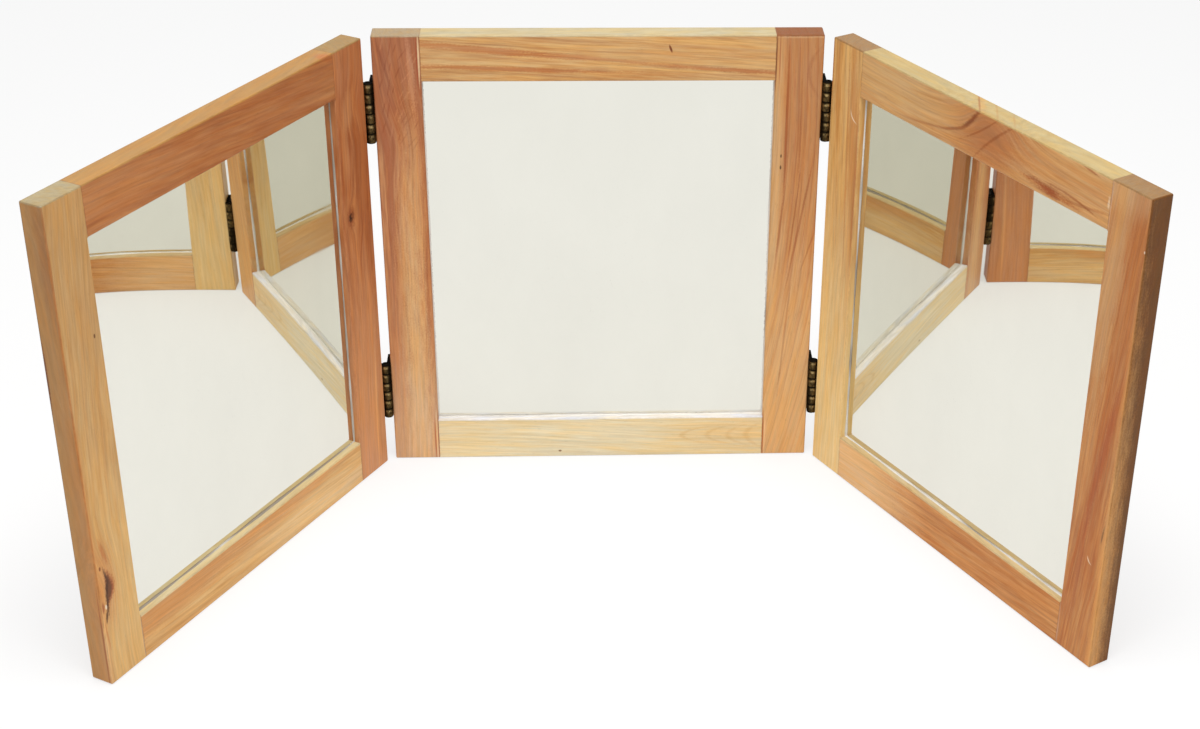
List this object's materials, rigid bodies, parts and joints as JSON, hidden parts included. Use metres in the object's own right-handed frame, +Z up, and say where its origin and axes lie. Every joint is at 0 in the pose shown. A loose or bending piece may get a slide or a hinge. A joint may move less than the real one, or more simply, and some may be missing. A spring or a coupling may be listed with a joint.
{
  "type": "trifold tabletop mirror",
  "caption": "Free-standing trifold mirror: wooden stile-and-rail frames with mirror panes, joined at the front by bronze butt hinges so the side wings fold forward.",
  "frame": {"origin": "middle of the underside of the centre frame's bottom rail, half way through its thickness", "axes": "+Z up, the mirrors' front faces -Y, +X to the right as seen from the front; the wings rest 60 degrees forward of flat"},
  "size_m": [0.7572, 0.3307, 0.386],
  "materials": {
    "frame_wood": "satin varnished softwood",
    "dowel_wood": "plain beech",
    "mirror_glass": "silvered sheet glass",
    "backing_hardboard": "bare hardboard",
    "point_steel": "bright stamped steel",
    "hinge_bronze": "dark antique bronze",
    "screw_bronze": "dark antique bronze"
  },
  "bodies": {
    "centre_panel": {"centre_left_stile": "frame_wood", "centre_right_stile": "frame_wood", "centre_bottom_rail": "frame_wood", "centre_top_rail": "frame_wood", "centre_dowels": "dowel_wood", "centre_mirror": "mirror_glass", "centre_backing_board": "backing_hardboard", "centre_glazing_points": "point_steel", "left_lower_hinge_centre_leaf": "hinge_bronze", "left_lower_hinge_pin": "hinge_bronze", "left_upper_hinge_centre_leaf": "hinge_bronze", "left_upper_hinge_pin": "hinge_bronze", "left_centre_hinge_screws": "screw_bronze", "right_lower_hinge_centre_leaf": "hinge_bronze", "right_lower_hinge_pin": "hinge_bronze", "right_upper_hinge_centre_leaf": "hinge_bronze", "right_upper_hinge_pin": "hinge_bronze", "right_centre_hinge_screws": "screw_bronze"},
    "left_wing": {"left_wing_outer_stile": "frame_wood", "left_wing_hinge_stile": "frame_wood", "left_wing_bottom_rail": "frame_wood", "left_wing_top_rail": "frame_wood", "left_wing_dowels": "dowel_wood", "left_wing_mirror": "mirror_glass", "left_wing_backing_board": "backing_hardboard", "left_wing_glazing_points": "point_steel", "left_lower_hinge_wing_leaf": "hinge_bronze", "left_upper_hinge_wing_leaf": "hinge_bronze", "left_wing_hinge_screws": "screw_bronze"},
    "right_wing": {"right_wing_hinge_stile": "frame_wood", "right_wing_outer_stile": "frame_wood", "right_wing_bottom_rail": "frame_wood", "right_wing_top_rail": "frame_wood", "right_wing_dowels": "dowel_wood", "right_wing_mirror": "mirror_glass", "right_wing_backing_board": "backing_hardboard", "right_wing_glazing_points": "point_steel", "right_lower_hinge_wing_leaf": "hinge_bronze", "right_upper_hinge_wing_leaf": "hinge_bronze", "right_wing_hinge_screws": "screw_bronze"}
  },
  "joints": [
    {"name": "left_wing_fold", "type": "hinge", "parent": "centre_panel", "child": "left_wing", "pos_m": [-0.1818, -0.0105, 0.193], "axis": [0, 0, 1], "range_deg": [-60, 60]},
    {"name": "right_wing_fold", "type": "hinge", "parent": "centre_panel", "child": "right_wing", "pos_m": [0.1818, -0.0105, 0.193], "axis": [0, 0, -1], "range_deg": [-60, 60]}
  ]
}
